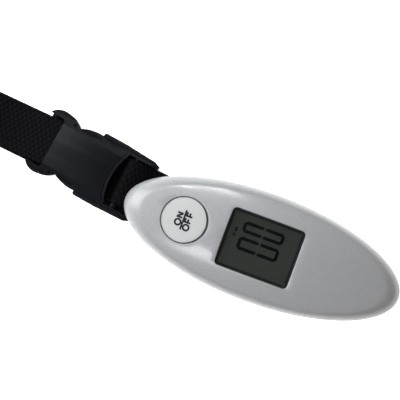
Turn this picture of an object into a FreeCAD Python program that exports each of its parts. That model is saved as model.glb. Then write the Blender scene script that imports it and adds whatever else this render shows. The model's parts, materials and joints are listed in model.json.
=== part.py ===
import FreeCAD, Part
import math
import os

V = FreeCAD.Vector

# ---------------------------------------------------------------------------
# Digital luggage scale, millimetres.
# +X: along the oval casing, away from the strap.  +Y: across it.  +Z: up, display side.
# Origin: on the supporting surface, under the middle of the casing.
# ---------------------------------------------------------------------------

# Casing: an oval shell, flat under its middle, gently crowned on top.
LENGTH = 147.0
WIDTH = 56.0
HEIGHT = 30.0
PARTING_Z = 15.5
WALL = 2.0
LAND_REACH = 24.0
FOOT_HEIGHT = 0.05
FOOT_START_X = 7.0
FOOT_END_X = 26.0
FOOT_HALF_WIDTH = 8.5
FOOT_CORNER = 6.0
TOP_RIM_RADIUS = 11.0
BOTTOM_RIM_RADIUS = 4.0
LIP_HEIGHT = 1.6
LIP_THICKNESS = 1.1
LIP_GAP = 0.25
LIP_ROOT = 3.0
ABOVE = 40.0
BELOW = -5.0

# Display window and what lies under it.
WINDOW_X = -1.5
WINDOW_LENGTH = 38.2
WINDOW_WIDTH = 30.2
WINDOW_CORNER = 2.2
WINDOW_TOP_Z = 27.9
WINDOW_THICKNESS = 1.2
WINDOW_FLANGE = 1.6
WINDOW_BEVEL = 0.7
GASKET_THICKNESS = 0.4
LCD_THICKNESS = 2.2

# Power button.
BUTTON_X = -41.9
BUTTON_RADIUS = 11.3
BUTTON_GAP = 0.4
BUTTON_SINK = 0.2
BUTTON_PLATE = 2.0
BUTTON_TRAVEL = 0.8
BUTTON_FLANGE = 0.9
BUTTON_STEM_RADIUS = 2.0
SWITCH_HALF = 3.0
SWITCH_PLUNGER_RADIUS = 1.5

# Circuit board.
BOARD_TOP_Z = 22.6
BOARD_THICKNESS = 1.2
BOARD_START_X = -51.0
BOARD_END_X = 22.0
BOARD_WIDTH = 27.0
BOARD_STEP = 3.0
BOARD_TAIL_HALF_WIDTH = 9.0
BOARD_SCREW_RADIUS = 0.8
BOARD_SCREW_HEAD_RADIUS = 1.8
BOARD_BOSS_RADIUS = 2.4
BOARD_SCREW_GRIP = 2.6
RESIN_BALL_RADIUS = 9.0
RESIN_X = -18.0
RESIN_DEPTH = 1.2

# Load path: eye bolt, beam and link.
WEBBING = 1.4
WEBBING_WIDTH = 25.0
LINK_WIRE = 3.6
LINK_REACH = 18.0
LINK_HALF_WIDTH = 15.4
LINK_CORNER = 2.7
WRAP_GAP = 0.1
LINK_Z = WEBBING + WRAP_GAP + LINK_WIRE / 2
EYE_THICKNESS = 5.0
EYE_CLEARANCE = 0.1
STEM_RADIUS = 2.5
BEAM_LENGTH = 58.0
BEAM_WIDTH = 12.0
BEAM_THICKNESS = 5.0
BEAM_Z = 12.4
BEAM_SCREW_X = 24.0
BEAM_SCREW_RADIUS = 1.5
BEAM_SCREW_HEAD_RADIUS = 2.8
BEAM_SCREW_HEAD_HEIGHT = 2.0
BEAM_SCREW_DEPTH = 3.0
BEAM_POST_RADIUS = 4.2
GAUGE_X = 13.0
GAUGE_HALF_LENGTH = 3.5
GAUGE_HALF_WIDTH = 1.8
GAUGE_THICKNESS = 0.2
NECK_CUT_RADIUS = 5.0
LEAD_RADIUS = 0.35
NUT_HEIGHT = 2.8
NUT_RADIUS = 4.6
WASHER_THICKNESS = 0.6
WASHER_RADIUS = 5.0

# Recess under the casing for the folded link and the strap.
POCKET_ROOF_Z = 7.4
POCKET_HALF_WIDTH = 17.8
POCKET_FRONT = 4.6
POCKET_BACK = 23.5
CHANNEL_HALF_WIDTH = 13.9
POCKET_WALL = 1.8

# Battery.
CELL_X = 40.0
CELL_RADIUS = 10.0
CELL_THICKNESS = 3.2
CELL_Z = 6.6
CUP_GAP = 0.4
CUP_WALL = 1.2
CUP_FLOOR = 2.4
LEAF_THICKNESS = 0.3
DOOR_RIB_Y = 5.0
DOOR_RIB_HALF = 0.7
DOOR_START_X = 28.0
DOOR_END_X = 52.4
DOOR_HALF_WIDTH = 11.4
DOOR_GAP = 0.3
DOOR_NAIL_GAP = 1.1

# Casing screws, seen from above.
SCREW_PLACES = [(62.0, 0.0), (9.0, 21.6), (9.0, -21.6), (-49.0, -13.6)]
SCREW_RADIUS = 1.2
SCREW_HEAD_RADIUS = 2.3
SCREW_HEAD_HEIGHT = 1.6
SCREW_SEAT_Z = 11.0
SCREW_TIP_Z = 21.0
BOSS_RADIUS = 3.2

# Strap and side-release buckle.  They lie along -X, turned about Z by STRAP_YAW.  The buckle hangs
# askew on the webbing: it is turned further about its plug bar, and slid a little towards -Y.
STRAP_YAW = -5.5
BUCKLE_TURN = -3.5
BUCKLE_SLIDE = -0.8
UNDER_RUN_TURN = -0.2
TOP_RUN_TURN = 0.7
BUCKLE_MID_Z = 6.9
BUCKLE_THICKNESS = 10.4
BUCKLE_HALF_WIDTH = 17.9
EAR_HALF_WIDTH = 17.3
SOCKET_EDGE_HALF = 3.2
PLUG_EDGE_HALF = 3.0
PLUG_THINNER = 0.3
SHOULDER_SHARE = 0.62
ARCH = 0.5
BEAD_WIDTH = 2.0
BEAD_RISE = 0.4
BEAD_TOP = 0.55
SLOT_SPARE = 1.1
PLUG_SPARE = 1.7
PLUG_END = 65.5
SEAM = 83.5
MOUTH_DEPTH = 2.7
MOUTH_HALF_CHORD = 13.5
RAIL_END = 98.0
WINDOW_END = 110.5
SLOT_EDGE = 118.8
EAR_END = 127.4
SEAM_GAP = 0.3
CAVITY_HALF_WIDTH = 14.6
CAVITY_HALF_HEIGHT = 3.2
PLUG_BAR = 77.1
PLUG_BAR_RADIUS = 1.7
SOCKET_BAR = 118.2
SOCKET_BAR_RADIUS = 1.6
END_BAR = 124.8
FAR_TURN = 206.0
LIP_OF_PLUG = 1.4
SKIRT_Z = 1.7
SKIRT_THICKNESS = 0.7
SKIRT_REACH = 3.0
SKIRT_WALL = 1.4
PRONG_HALF_WIDTH = 1.2
PRONG_ROOT_HALF_WIDTH = 1.8
PRONG_HALF_HEIGHT = 2.9
GUIDE_HALF_WIDTH = 2.8
GUIDE_HALF_HEIGHT = 2.6
PAD_REACH = 16.0
PAD_GROOVE = 0.5

# Worked out from the above.
BOARD_SCREWS = [(-26.0, 12.0), (-26.0, -12.0)]
SWITCH_TOP_Z = BOARD_TOP_Z + 1.9
CUP_ROOF_Z = CELL_Z + CELL_THICKNESS + 0.5
PRONG_ROOT = SEAM + 3.35
PRONG_Y = 9.4
LAYER = WEBBING / 2
STACK_STEP = WEBBING + 0.05
LINK_WRAP = LINK_WIRE / 2 + WRAP_GAP + LAYER
PLUG_WRAP = PLUG_BAR_RADIUS + WRAP_GAP + LAYER
PLUG_SLACK = 0.8
SOCKET_WRAP = SOCKET_BAR_RADIUS + WRAP_GAP + LAYER
SOCKET_SLACK = 1.0
SOCKET_BAR_Z = BUCKLE_MID_Z - 0.2
FAR_JOIN = FAR_TURN - 26.0
HALF_LENGTH = LENGTH / 2
HALF_WIDTH = WIDTH / 2
UP = V(0, 0, 1)
ORIGIN = V(0, 0, 0)


# ------------------------------------------------------------------ helpers

def save(shape, name):
    """Writes one sub-part, after joining faces that continue one another."""
    shape = shape.removeSplitter()
    shape.exportStep("parts/" + name + ".step")
    box = shape.BoundBox
    print("%-26s solids %d valid %s volume %9.1f  z %.2f to %.2f"
          % (name, len(shape.Solids), shape.isValid(), shape.Volume, box.ZMin, box.ZMax))


def block(x0, x1, y0, y1, z0, z1):
    return Part.makeBox(x1 - x0, y1 - y0, z1 - z0, V(x0, y0, z0))


def post(x, y, z0, z1, radius):
    return Part.makeCylinder(radius, z1 - z0, V(x, y, z0), UP)


def rod(start, end, radius):
    return Part.makeCylinder(radius, (end - start).Length, start, end - start)


def strap_frame(shape):
    """Turns a shape drawn along -X to the way that the strap lies."""
    turned = shape.copy()
    turned.rotate(ORIGIN, UP, STRAP_YAW)
    return turned


def buckle_frame(shape):
    """Turns and slides a piece of the buckle to the way that it hangs, then lays it along the strap."""
    hung = shape.copy()
    hung.translate(V(0, BUCKLE_SLIDE, 0))
    hung.rotate(V(-PLUG_BAR, BUCKLE_SLIDE, 0), UP, BUCKLE_TURN)
    return strap_frame(hung)


def under_run_frame(shape):
    """Lays the under run along the strap, turned about the link's far bar."""
    turned = shape.copy()
    turned.rotate(V(-LINK_REACH, 0, 0), UP, UNDER_RUN_TURN)
    return strap_frame(turned)


def top_run_frame(shape):
    """Centres the top run on the socket's bar, and turns it about there."""
    turn = math.radians(-BUCKLE_TURN)
    reach = SOCKET_BAR - PLUG_BAR
    along = PLUG_BAR + reach * math.cos(turn)
    across = BUCKLE_SLIDE + reach * math.sin(turn)
    turned = shape.copy()
    turned.translate(V(SOCKET_BAR - along, across, 0))
    turned.rotate(V(-along, across, 0), UP, TOP_RUN_TURN)
    return strap_frame(turned)


def rounded_rectangle(x0, x1, y0, y1, corner, z):
    """A flat face with four round corners."""
    plain = Part.makePolygon([V(x0, y0, z), V(x1, y0, z), V(x1, y1, z), V(x0, y1, z), V(x0, y0, z)])
    slab = Part.Face(plain).extrude(V(0, 0, 1))
    uprights = [e for e in slab.Edges if abs(e.Vertexes[0].Z - e.Vertexes[1].Z) > 0.5]
    slab = slab.makeFillet(corner, uprights)
    return [f for f in slab.Faces if abs(f.CenterOfMass.z - z) < 1e-6][0]


def rounded_block(x0, x1, y0, y1, z0, z1, corner):
    return rounded_rectangle(x0, x1, y0, y1, corner, z0).extrude(V(0, 0, z1 - z0))


def tapered_block(x0, x1, y0, y1, corner, z0, z1, flare):
    """A round-cornered block that widens by flare on each side at its top."""
    low = rounded_rectangle(x0, x1, y0, y1, corner, z0).OuterWire
    high = rounded_rectangle(x0 - flare, x1 + flare, y0 - flare, y1 + flare, corner + flare, z1)
    return Part.makeLoft([low, high.OuterWire], True, True)


def prism(points, depth, axis):
    """A closed outline pushed along axis.  A 3-tuple (mid, end) pair in points draws an arc."""
    edges = []
    here = points[0]
    for item in points[1:] + [points[0]]:
        if isinstance(item, tuple):
            mid, end = item
            edges.append(Part.Arc(here, mid, end).toShape())
            here = end
        else:
            if (item - here).Length > 1e-7:
                edges.append(Part.makeLine(here, item))
            here = item
    return Part.Face(Part.Wire(edges)).extrude(axis * depth)


def ellipse_disc(inset, z0, z1):
    """An upright oval cylinder, inset from the casing's outline."""
    outline = Part.Ellipse(V(0, 0, z0), HALF_LENGTH - inset, HALF_WIDTH - inset).toShape()
    return Part.Face(Part.Wire([outline])).extrude(V(0, 0, z1 - z0))


# ------------------------------------------------------------------- casing

def rim_arc(reach, rise, radius, far_radius_offset):
    """Radius of the arc that starts level at far_radius_offset from the axis, and runs smoothly
    into a rim arc of the given radius, which is upright at (reach, rise)."""
    inward = reach - radius - far_radius_offset
    return (inward ** 2 + rise ** 2 - radius ** 2) / (2 * (rise - radius))


def oval_body(inset):
    """The casing's outer form, or with an inset the space inside its wall."""
    reach = HALF_LENGTH - inset
    bottom_z = inset + FOOT_HEIGHT
    top_z = HEIGHT - inset
    top_rim = TOP_RIM_RADIUS - inset
    bottom_rim = max(BOTTOM_RIM_RADIUS - inset, 0.4)
    top_rise = top_z - PARTING_Z
    bottom_rise = PARTING_Z - bottom_z
    top_radius = rim_arc(reach, top_rise, top_rim, 0.0)
    bottom_radius = rim_arc(reach, bottom_rise, bottom_rim, LAND_REACH)

    top_turn = math.asin((reach - top_rim) / (top_radius - top_rim))
    bottom_turn = math.asin((reach - bottom_rim - LAND_REACH) / (bottom_radius - bottom_rim))

    def on_top(turn):
        return V(top_radius * math.sin(turn), 0, top_z - top_radius * (1 - math.cos(turn)))

    def on_top_rim(turn):
        return V(reach - top_rim * (1 - math.sin(turn)), 0, PARTING_Z + top_rim * math.cos(turn))

    def on_bottom(turn):
        return V(LAND_REACH + bottom_radius * math.sin(turn), 0,
                 bottom_z + bottom_radius * (1 - math.cos(turn)))

    def on_bottom_rim(turn):
        return V(reach - bottom_rim * (1 - math.sin(turn)), 0, PARTING_Z - bottom_rim * math.cos(turn))

    quarter = math.pi / 2
    widest = V(reach, 0, PARTING_Z)
    edges = [
        Part.makeLine(V(0, 0, bottom_z), V(LAND_REACH, 0, bottom_z)),
        Part.Arc(on_bottom(0), on_bottom(bottom_turn / 2), on_bottom(bottom_turn)).toShape(),
        Part.Arc(on_bottom(bottom_turn), on_bottom_rim((bottom_turn + quarter) / 2), widest).toShape(),
        Part.Arc(widest, on_top_rim((top_turn + quarter) / 2), on_top(top_turn)).toShape(),
        Part.Arc(on_top(top_turn), on_top(top_turn / 2), on_top(0)).toShape(),
        Part.makeLine(on_top(0), V(0, 0, bottom_z)),
    ]
    profile = Part.Face(Part.Wire(edges))
    round_body = profile.revolve(ORIGIN, UP, 360)
    squeeze = FreeCAD.Matrix()
    squeeze.scale(1, (HALF_WIDTH - inset) / reach, 1)
    return round_body.transformGeometry(squeeze)


def surface_z(x, y):
    """Height of the crowned top at a place well inside the rim."""
    radius = rim_arc(HALF_LENGTH, HEIGHT - PARTING_Z, TOP_RIM_RADIUS, 0.0)
    reach = math.hypot(x, y * HALF_LENGTH / HALF_WIDTH)
    return HEIGHT - radius + math.sqrt(radius ** 2 - reach ** 2)


def recess(grow, roof_z):
    """Space for the folded link and the strap; grown, it is the wall around that space."""
    pocket = rounded_block(-POCKET_BACK - grow, POCKET_FRONT + grow,
                           -POCKET_HALF_WIDTH - grow, POCKET_HALF_WIDTH + grow,
                           -5, roof_z, 4.0 + grow)
    channel = block(-HALF_LENGTH - 20, -POCKET_BACK / 2,
                    -CHANNEL_HALF_WIDTH - grow, CHANNEL_HALF_WIDTH + grow, -5, roof_z)
    return strap_frame(pocket.fuse(channel))


def make_top_cover(outer, inner):
    upper_half = block(-100, 100, -60, 60, PARTING_Z, 60)
    cover = outer.cut(inner).common(upper_half)
    bosses = [post(x, y, PARTING_Z, ABOVE, BOSS_RADIUS) for x, y in SCREW_PLACES]
    for x, y in BOARD_SCREWS:
        bosses.append(post(x, y, BOARD_TOP_Z, ABOVE, BOARD_BOSS_RADIUS))
    cover = cover.fuse([boss.common(outer) for boss in bosses])

    half_length = WINDOW_LENGTH / 2
    half_width = WINDOW_WIDTH / 2
    x0 = WINDOW_X - half_length
    x1 = WINDOW_X + half_length
    cuts = [rounded_block(x0, x1, -half_width, half_width, BOARD_TOP_Z, ABOVE, WINDOW_CORNER)]
    cuts.append(tapered_block(x0, x1, -half_width, half_width, WINDOW_CORNER,
                              WINDOW_TOP_Z, HEIGHT + 0.6, WINDOW_BEVEL))
    flange = WINDOW_FLANGE + 0.2
    cuts.append(rounded_block(x0 - flange, x1 + flange, -half_width - flange, half_width + flange,
                              BOARD_TOP_Z, WINDOW_TOP_Z - 0.5, 1.2))
    hole = BUTTON_RADIUS + BUTTON_GAP
    cuts.append(post(BUTTON_X, 0, BOARD_TOP_Z, ABOVE, hole))
    cuts.append(Part.makeCone(hole, hole + 0.9, 2.0, V(BUTTON_X, 0, surface_z(BUTTON_X, 0) - 1.0)))
    cuts.append(post(BUTTON_X, 0, BOARD_TOP_Z, surface_z(BUTTON_X - BUTTON_RADIUS, 0) - BUTTON_PLATE + 0.1,
                     hole + BUTTON_FLANGE + 0.3))
    for x, y in SCREW_PLACES:
        cuts.append(post(x, y, PARTING_Z - 1, SCREW_TIP_Z, SCREW_RADIUS))
    for x, y in BOARD_SCREWS:
        cuts.append(post(x, y, BOARD_TOP_Z - 1, BOARD_TOP_Z + BOARD_SCREW_GRIP + 0.4, BOARD_SCREW_RADIUS))
    return cover.cut(cuts)


def make_bottom_cover(outer, inner):
    lower_half = block(-100, 100, -60, 60, -10, PARTING_Z)
    shell = outer.cut(inner)
    inside_wall = WALL + LIP_GAP
    lip = ellipse_disc(inside_wall, PARTING_Z - 1.4, PARTING_Z + LIP_HEIGHT)
    lip_root = ellipse_disc(WALL - 0.6, PARTING_Z - LIP_ROOT, PARTING_Z)
    hollow = ellipse_disc(inside_wall + LIP_THICKNESS, PARTING_Z - 10, PARTING_Z + 10)
    added = [recess(POCKET_WALL, POCKET_ROOF_Z + POCKET_WALL)]
    for x, y in SCREW_PLACES:
        added.append(post(x, y, BELOW, PARTING_Z, BOSS_RADIUS + 0.7))
    added.append(post(BEAM_SCREW_X, 0, BELOW, BEAM_Z, BEAM_POST_RADIUS))
    added.append(post(-BEAM_SCREW_X, 0, POCKET_ROOF_Z, BEAM_Z, BEAM_POST_RADIUS))
    added.append(post(CELL_X, 0, CELL_Z - CUP_FLOOR, CUP_ROOF_Z + CUP_WALL,
                      CELL_RADIUS + CUP_GAP + CUP_WALL))
    cover = shell.fuse([piece.common(outer) for piece in added]).common(lower_half)
    foot = rounded_block(FOOT_START_X, FOOT_END_X, -FOOT_HALF_WIDTH, FOOT_HALF_WIDTH, 0, WALL, FOOT_CORNER)
    cover = cover.fuse(lip_root.cut(hollow).common(outer))
    cover = cover.fuse([lip.cut(hollow), foot])
    notches = [post(x, y, PARTING_Z, PARTING_Z + 3, BOSS_RADIUS + 0.3) for x, y in SCREW_PLACES]
    cuts = [recess(0, POCKET_ROOF_Z)] + notches
    for x, y in SCREW_PLACES:
        cuts.append(post(x, y, BELOW, PARTING_Z + 1, SCREW_RADIUS + 0.2))
        cuts.append(post(x, y, BELOW, SCREW_SEAT_Z, SCREW_HEAD_RADIUS + 0.4))
    for side in (-1, 1):
        cuts.append(post(side * BEAM_SCREW_X, 0, BEAM_Z - BEAM_SCREW_DEPTH - 0.2, BEAM_Z + 1,
                         BEAM_SCREW_RADIUS))
    cuts.append(post(0, 0, 0, ABOVE, STEM_RADIUS + 0.6))
    cuts.append(post(CELL_X, 0, CELL_Z - CUP_FLOOR - 0.6, CUP_ROOF_Z, CELL_RADIUS + CUP_GAP))
    doorway = rounded_block(DOOR_START_X, DOOR_END_X, -DOOR_HALF_WIDTH, DOOR_HALF_WIDTH, BELOW, BEAM_Z, 2.0)
    raised = inner.copy()
    raised.translate(V(0, 0, DOOR_GAP))
    cuts.append(doorway.cut(raised))
    cuts.append(block(CELL_X + CELL_RADIUS - 1, CELL_X + CELL_RADIUS + 3, -3.2, 3.2,
                      CELL_Z, CUP_ROOF_Z + 3))
    return cover.cut(cuts)


def make_battery_door(outer, inner):
    gap = DOOR_GAP
    plate = rounded_block(DOOR_START_X + gap, DOOR_END_X - DOOR_NAIL_GAP,
                          -DOOR_HALF_WIDTH + gap, DOOR_HALF_WIDTH - gap, BELOW, PARTING_Z, 1.8)
    door = plate.common(outer).cut(inner)
    ribs = [block(CELL_X - 6, CELL_X + 6, y - DOOR_RIB_HALF, y + DOOR_RIB_HALF, BELOW, CELL_Z)
            for y in (-DOOR_RIB_Y, DOOR_RIB_Y)]
    return door.fuse([rib.common(outer) for rib in ribs])


# ------------------------------------------------------ display and buttons

def make_display_window():
    half_length = WINDOW_LENGTH / 2
    half_width = WINDOW_WIDTH / 2
    raised = rounded_block(WINDOW_X - half_length + 0.1, WINDOW_X + half_length - 0.1,
                           -half_width + 0.1, half_width - 0.1,
                           WINDOW_TOP_Z - WINDOW_THICKNESS, WINDOW_TOP_Z, WINDOW_CORNER - 0.1)
    flange = rounded_block(WINDOW_X - half_length - WINDOW_FLANGE, WINDOW_X + half_length + WINDOW_FLANGE,
                           -half_width - WINDOW_FLANGE, half_width + WINDOW_FLANGE,
                           WINDOW_TOP_Z - WINDOW_THICKNESS, WINDOW_TOP_Z - 0.55, 1.4)
    return raised.fuse(flange)


def make_window_gasket():
    top_z = WINDOW_TOP_Z - WINDOW_THICKNESS
    half_length = WINDOW_LENGTH / 2
    half_width = WINDOW_WIDTH / 2
    grow = WINDOW_FLANGE
    pad = rounded_block(WINDOW_X - half_length - grow, WINDOW_X + half_length + grow,
                        -half_width - grow, half_width + grow,
                        top_z - GASKET_THICKNESS, top_z, 1.4)
    inset = 0.9
    opening = rounded_block(WINDOW_X - half_length + inset, WINDOW_X + half_length - inset,
                            -half_width + inset, half_width - inset,
                            top_z - 2, top_z + 1, WINDOW_CORNER)
    return pad.cut(opening)


def lcd_top_z():
    return WINDOW_TOP_Z - WINDOW_THICKNESS - GASKET_THICKNESS


def make_lcd_panel():
    top_z = lcd_top_z()
    half_length = WINDOW_LENGTH / 2 + 0.8
    half_width = WINDOW_WIDTH / 2 + 0.8
    return rounded_block(WINDOW_X - half_length, WINDOW_X + half_length, -half_width, half_width,
                         top_z - LCD_THICKNESS, top_z, 0.4)


def make_lcd_frame():
    """An open frame that stands on the board and holds the display panel's edge."""
    half_length = WINDOW_LENGTH / 2 + 1.6
    half_width = WINDOW_WIDTH / 2 + 1.6
    top_z = lcd_top_z() - 0.3
    frame = rounded_block(WINDOW_X - half_length, WINDOW_X + half_length, -half_width, half_width,
                          BOARD_TOP_Z, top_z, 1.0)
    seat = block(WINDOW_X - half_length + 0.75, WINDOW_X + half_length - 0.75,
                 -half_width + 0.75, half_width - 0.75, lcd_top_z() - LCD_THICKNESS, top_z + 1)
    hollow = block(WINDOW_X - half_length + 2.2, WINDOW_X + half_length - 2.2,
                   -half_width + 3.6, half_width - 3.6, BOARD_TOP_Z - 1, top_z + 1)
    strips = [connector_strip(side, 0.1) for side in (-1, 1)]
    return frame.cut([seat, hollow] + strips)


def connector_strip(side, grow):
    y = side * (WINDOW_WIDTH / 2 - 0.6)
    return block(WINDOW_X - 15 - grow, WINDOW_X + 15 + grow, y - 0.8 - grow, y + 0.8 + grow,
                 BOARD_TOP_Z, lcd_top_z() - LCD_THICKNESS)


def make_connector_strips():
    return Part.makeCompound([connector_strip(side, 0) for side in (-1, 1)])


def make_main_board():
    half_width = BOARD_WIDTH / 2
    low_z = BOARD_TOP_Z - BOARD_THICKNESS
    corner = 1.5
    wide = rounded_block(-30, BOARD_END_X, -half_width - BOARD_STEP, half_width + BOARD_STEP,
                         low_z, BOARD_TOP_Z, corner)
    tail = rounded_block(BOARD_START_X, -20, -BOARD_TAIL_HALF_WIDTH, BOARD_TAIL_HALF_WIDTH,
                         low_z, BOARD_TOP_Z, corner)
    holes = [post(x, y, low_z - 1, BOARD_TOP_Z + 1, BOARD_SCREW_RADIUS + 0.4) for x, y in BOARD_SCREWS]
    return wide.fuse(tail).cut(holes)


def make_board_screws():
    screws = []
    for x, y in BOARD_SCREWS:
        low_z = BOARD_TOP_Z - BOARD_THICKNESS
        head = post(x, y, low_z - 1.0, low_z, BOARD_SCREW_HEAD_RADIUS)
        shank = post(x, y, low_z, BOARD_TOP_Z + BOARD_SCREW_GRIP, BOARD_SCREW_RADIUS)
        screws.append(head.fuse(shank))
    return Part.makeCompound(screws)


def make_chip():
    """A round blob of resin over the scale's chip, under the board."""
    low_z = BOARD_TOP_Z - BOARD_THICKNESS
    ball = Part.makeSphere(RESIN_BALL_RADIUS, V(RESIN_X, 0, low_z + RESIN_BALL_RADIUS - RESIN_DEPTH))
    return ball.common(block(-30, 0, -20, 20, low_z - 5, low_z))


def make_power_button(outer):
    """The button's face continues the casing's crown, a little lower."""
    sunk = outer.copy()
    sunk.translate(V(0, 0, -BUTTON_SINK))
    lowest_z = surface_z(BUTTON_X - BUTTON_RADIUS, 0)
    face = post(BUTTON_X, 0, lowest_z - BUTTON_PLATE, ABOVE, BUTTON_RADIUS).common(sunk)
    flange = post(BUTTON_X, 0, lowest_z - BUTTON_PLATE - 0.7, lowest_z - BUTTON_PLATE,
                  BUTTON_RADIUS + BUTTON_FLANGE)
    stem = post(BUTTON_X, 0, SWITCH_TOP_Z, lowest_z - BUTTON_PLATE, BUTTON_STEM_RADIUS)
    return face.fuse([flange, stem])


def make_switch_body():
    body = rounded_block(BUTTON_X - SWITCH_HALF, BUTTON_X + SWITCH_HALF, -SWITCH_HALF, SWITCH_HALF,
                         BOARD_TOP_Z, BOARD_TOP_Z + 0.9, 0.5)
    return body.cut(post(BUTTON_X, 0, BOARD_TOP_Z + 0.02, ABOVE, SWITCH_PLUNGER_RADIUS + 0.1))


def make_switch_plunger():
    return post(BUTTON_X, 0, BOARD_TOP_Z + BUTTON_TRAVEL + 0.1, SWITCH_TOP_Z, SWITCH_PLUNGER_RADIUS)


# ------------------------------------------------------------------ battery

def make_coin_cell():
    can = post(CELL_X, 0, CELL_Z, CELL_Z + CELL_THICKNESS - 0.3, CELL_RADIUS)
    cap = post(CELL_X, 0, CELL_Z, CELL_Z + CELL_THICKNESS, CELL_RADIUS - 1.4)
    rims = [e for e in can.Edges if abs(e.Length - 2 * math.pi * CELL_RADIUS) < 1e-3]
    return can.makeFillet(0.4, rims).fuse(cap)


def make_contact_negative():
    """A flat leaf under the cup's roof, with a tongue that bears on the cell's cap."""
    roof = block(CELL_X - 6, CELL_X + 6, -2, 2, CUP_ROOF_Z - LEAF_THICKNESS, CUP_ROOF_Z)
    pad = post(CELL_X, 0, CELL_Z + CELL_THICKNESS, CUP_ROOF_Z - LEAF_THICKNESS, 1.6)
    return roof.fuse(pad)


def make_contact_positive():
    """An upright leaf that bears on the cell's side, led up through the cup's wall."""
    touch_x = CELL_X + CELL_RADIUS
    top_z = CUP_ROOF_Z + 2.4
    half_width = 2.5
    leaf = block(touch_x, touch_x + LEAF_THICKNESS, -half_width, half_width, CELL_Z + 0.3, top_z)
    tail = block(touch_x, touch_x + 3.0, -half_width, half_width, top_z - LEAF_THICKNESS, top_z)
    return leaf.fuse(tail)


# ---------------------------------------------------------------- load path

def make_load_beam():
    half = BEAM_LENGTH / 2
    beam = rounded_block(-half, half, -BEAM_WIDTH / 2, BEAM_WIDTH / 2,
                         BEAM_Z, BEAM_Z + BEAM_THICKNESS, 3.0)
    cuts = [post(0, 0, 0, ABOVE, STEM_RADIUS)]
    for side in (-1, 1):
        cuts.append(post(side * BEAM_SCREW_X, 0, 0, ABOVE, BEAM_SCREW_RADIUS))
        for y in (-BEAM_WIDTH / 2 - 3.0, BEAM_WIDTH / 2 + 3.0):
            cuts.append(post(side * GAUGE_X, y, 0, ABOVE, NECK_CUT_RADIUS))
    return beam.cut(cuts)


def make_strain_gauges():
    top_z = BEAM_Z + BEAM_THICKNESS
    gauges = []
    for side in (-1, 1):
        x0 = side * GAUGE_X - GAUGE_HALF_LENGTH
        x1 = side * GAUGE_X + GAUGE_HALF_LENGTH
        for z in (BEAM_Z - GAUGE_THICKNESS, top_z):
            gauges.append(block(x0, x1, -GAUGE_HALF_WIDTH, GAUGE_HALF_WIDTH, z, z + GAUGE_THICKNESS))
    return Part.makeCompound(gauges)


def make_beam_screws():
    top_z = BEAM_Z + BEAM_THICKNESS
    screws = []
    for side in (-1, 1):
        x = side * BEAM_SCREW_X
        head = post(x, 0, top_z, top_z + BEAM_SCREW_HEAD_HEIGHT, BEAM_SCREW_HEAD_RADIUS)
        socket = post(x, 0, top_z + 0.9, ABOVE, 1.3)
        shank = post(x, 0, BEAM_Z - BEAM_SCREW_DEPTH, top_z, BEAM_SCREW_RADIUS)
        screws.append(head.cut(socket).fuse(shank))
    return Part.makeCompound(screws)


def make_eye_bolt():
    eye_radius = LINK_Z
    across = V(0, EYE_THICKNESS, 0)
    eye = Part.makeCylinder(eye_radius, EYE_THICKNESS, V(0, -EYE_THICKNESS / 2, LINK_Z), across)
    neck = block(-eye_radius, eye_radius, -EYE_THICKNESS / 2, EYE_THICKNESS / 2, LINK_Z, POCKET_ROOF_Z - 0.4)
    hole = Part.makeCylinder(LINK_WIRE / 2 + EYE_CLEARANCE, 20, V(0, -10, LINK_Z), V(0, 1, 0))
    stem_top = BEAM_Z + BEAM_THICKNESS + WASHER_THICKNESS + NUT_HEIGHT
    stem = post(0, 0, POCKET_ROOF_Z - 0.5, stem_top, STEM_RADIUS)
    collar = post(0, 0, BEAM_Z - 2.0, BEAM_Z, STEM_RADIUS + 1.2)
    return strap_frame(eye.fuse(neck).cut(hole).fuse([stem, collar]))


def hexagon(radius, z0, z1):
    corners = [V(radius * math.cos(math.radians(60 * k)), radius * math.sin(math.radians(60 * k)), z0)
               for k in range(7)]
    return Part.Face(Part.makePolygon(corners)).extrude(V(0, 0, z1 - z0))


def make_eye_washer():
    low_z = BEAM_Z + BEAM_THICKNESS
    ring = post(0, 0, low_z, low_z + WASHER_THICKNESS, WASHER_RADIUS)
    return ring.cut(post(0, 0, 0, ABOVE, STEM_RADIUS))


def make_eye_nut():
    low_z = BEAM_Z + BEAM_THICKNESS + WASHER_THICKNESS
    nut = hexagon(NUT_RADIUS, low_z, low_z + NUT_HEIGHT)
    return nut.cut(post(0, 0, 0, ABOVE, STEM_RADIUS))


def make_link_ring():
    """A closed rectangular loop of wire, lying flat, with round corners."""
    r = LINK_CORNER
    near, far, side = 0.0, -LINK_REACH, LINK_HALF_WIDTH
    wire = LINK_WIRE / 2
    z = LINK_Z
    bars = [
        (V(near, -side + r, z), V(near, side - r, z)),
        (V(near - r, side, z), V(far + r, side, z)),
        (V(far, side - r, z), V(far, -side + r, z)),
        (V(far + r, -side, z), V(near - r, -side, z)),
    ]
    pieces = [rod(a, b, wire) for a, b in bars]
    corners = [(near - r, side - r, 0), (far + r, side - r, 90),
               (far + r, -side + r, 180), (near - r, -side + r, 270)]
    for x, y, turn in corners:
        bend = Part.makeTorus(r, wire, V(0, 0, 0), UP, 0, 360, 90)
        bend.rotate(ORIGIN, UP, turn)
        bend.translate(V(x, y, z))
        pieces.append(bend)
    return strap_frame(pieces[0].fuse(pieces[1:]))


def make_gauge_wires():
    """Two pairs of thin leads from the beam's gauges up to the board."""
    leads = []
    low_z = BEAM_Z + BEAM_THICKNESS + GAUGE_THICKNESS
    high_z = BOARD_TOP_Z - BOARD_THICKNESS
    for side in (-1, 1):
        for y in (-0.9, 0.9):
            leads.append(rod(V(side * 11.2, y, low_z), V(side * 8.0, y * 5, high_z), LEAD_RADIUS))
    inside = block(-60, 60, -60, 60, low_z, high_z)
    return Part.makeCompound([lead.common(inside) for lead in leads])


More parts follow.
